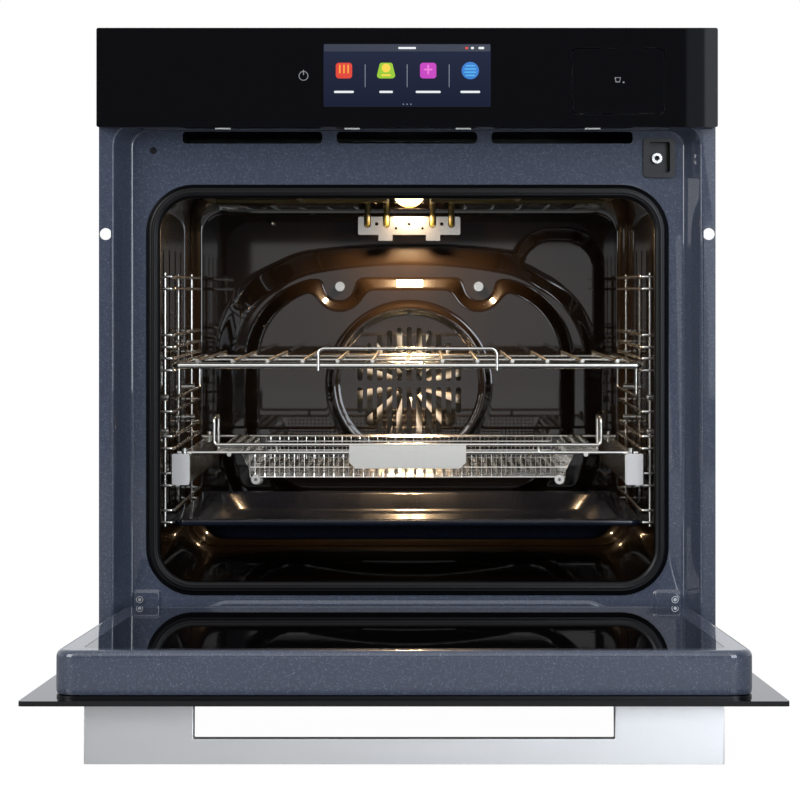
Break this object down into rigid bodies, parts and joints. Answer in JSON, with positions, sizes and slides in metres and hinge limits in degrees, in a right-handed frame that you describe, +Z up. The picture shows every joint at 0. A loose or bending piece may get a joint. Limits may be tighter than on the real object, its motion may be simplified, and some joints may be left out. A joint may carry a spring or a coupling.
{
  "type": "wall oven",
  "caption": "Built-in electric wall oven with its drop-down door open, dark enamel, black glass panel with display and water tank, wire rack, air-fry basket on runners and baking tray.",
  "frame": {"origin": "middle of the front edge of the carcass base: the line where the shelf meets the plane of the cabinet's front", "axes": "+X to the right as seen from the front, +Y into the oven, +Z up"},
  "size_m": [0.595, 1.0239, 0.6217],
  "materials": {
    "zinc_sheet": "satin",
    "grey_enamel": "gloss",
    "cavity_enamel": "gloss",
    "tray_enamel": "gloss",
    "seal_rubber": "matt",
    "stainless_wire": "polished",
    "heater_sheath": "satin",
    "ceramic": "matt",
    "lamp_glass": "clear, lit",
    "mineral_wool": "fibrous",
    "black_glass": "gloss",
    "clear_glass": "clear",
    "black_plastic": "matt",
    "screen": "lit display",
    "circuit_board": "matt",
    "white_plastic": "matt",
    "tank_plastic": "clear",
    "cast_aluminium": "cast",
    "brushed_aluminium": "brushed"
  },
  "bodies": {
    "carcass": {"base_tray": "zinc_sheet", "side_panel_left": "zinc_sheet", "side_panel_right": "zinc_sheet", "top_cover": "zinc_sheet", "rear_cover": "zinc_sheet", "front_frame": "grey_enamel", "cavity_wrapper": "cavity_enamel", "cavity_back": "cavity_enamel", "cavity_gasket": "seal_rubber", "rear_baffle": "cavity_enamel", "baffle_screws": "stainless_wire", "fan_motor": "zinc_sheet", "ring_element": "heater_sheath", "grill_element_outer": "heater_sheath", "grill_element_inner": "heater_sheath", "element_bracket": "stainless_wire", "bottom_element": "heater_sheath", "lamp_holder": "ceramic", "lamp_lens": "lamp_glass", "temperature_sensor": "stainless_wire", "side_ladder_left": "stainless_wire", "side_ladder_right": "stainless_wire", "insulation_blanket": "mineral_wool", "blower_housing": "zinc_sheet", "blower_motor": "black_plastic", "air_duct": "zinc_sheet", "panel_glass": "black_glass", "panel_housing": "black_plastic", "display_module": "screen", "control_board": "circuit_board", "tank_housing": "white_plastic", "water_pump": "black_plastic", "steam_generator": "cast_aluminium", "terminal_block": "white_plastic", "probe_socket": "stainless_wire", "probe_bezel": "black_plastic", "hinge_receivers": "zinc_sheet", "hinge_arms": "zinc_sheet", "runner_fixed_rails": "stainless_wire"},
    "door": {"door_outer_glass": "black_glass", "door_spacer": "black_plastic", "door_frame": "grey_enamel", "door_middle_glass": "clear_glass", "door_inner_glass": "black_glass", "door_handle": "brushed_aluminium", "hinge_channels": "zinc_sheet"},
    "fan": {"convection_fan": "stainless_wire"},
    "blower": {"blower_wheel": "zinc_sheet"},
    "rack": {"wire_rack": "stainless_wire"},
    "carriage": {"runner_moving_rails": "stainless_wire"},
    "middle_rails": {"runner_middle_rails": "zinc_sheet"},
    "basket": {"basket_cradle": "stainless_wire", "basket_mesh": "stainless_wire", "basket_plate": "stainless_wire"},
    "tray": {"baking_tray": "tray_enamel"},
    "tank": {"water_tank": "tank_plastic", "tank_lid": "white_plastic", "tank_cover": "black_glass"},
    "lock_left": {"hinge_lock_left": "stainless_wire"},
    "lock_right": {"hinge_lock_right": "stainless_wire"}
  },
  "joints": [
    {"name": "door_hinge", "type": "hinge", "parent": "carcass", "child": "door", "pos_m": [0, 0, 0.01], "axis": [1, 0, 0], "range_deg": [-87, 0]},
    {"name": "fan_spin", "type": "hinge", "parent": "carcass", "child": "fan", "pos_m": [0, 0.45, 0.229], "axis": [0, 1, 0], "continuous": true},
    {"name": "blower_spin", "type": "hinge", "parent": "carcass", "child": "blower", "pos_m": [0, 0.305, 0.5], "axis": [0, 0, 1], "continuous": true},
    {"name": "rack_slide", "type": "slide", "parent": "carcass", "child": "rack", "axis": [0, -1, 0], "range_m": [0, 0.3]},
    {"name": "carriage_slide", "type": "slide", "parent": "carcass", "child": "carriage", "axis": [0, -1, 0], "range_m": [0, 0.3]},
    {"name": "middle_slide", "type": "slide", "parent": "carcass", "child": "middle_rails", "axis": [0, -1, 0], "range_m": [0, 0.15]},
    {"name": "basket_lift", "type": "slide", "parent": "carriage", "child": "basket", "axis": [0, 0, 1], "range_m": [0, 0.015]},
    {"name": "tray_slide", "type": "slide", "parent": "carcass", "child": "tray", "axis": [0, -1, 0], "range_m": [0, 0.3]},
    {"name": "tank_slide", "type": "slide", "parent": "carcass", "child": "tank", "axis": [0, -1, 0], "range_m": [0, 0.19]},
    {"name": "hinge_lock_left", "type": "hinge", "parent": "carcass", "child": "lock_left", "pos_m": [-0.256, 0.02, 0.0072], "axis": [1, 0, 0], "range_deg": [0, 120]},
    {"name": "hinge_lock_right", "type": "hinge", "parent": "carcass", "child": "lock_right", "pos_m": [0.256, 0.02, 0.0072], "axis": [1, 0, 0], "range_deg": [0, 120]}
  ],
  "couplings": [
    {"joint": "middle_slide", "follows": "carriage_slide", "ratio": 0.5}
  ]
}
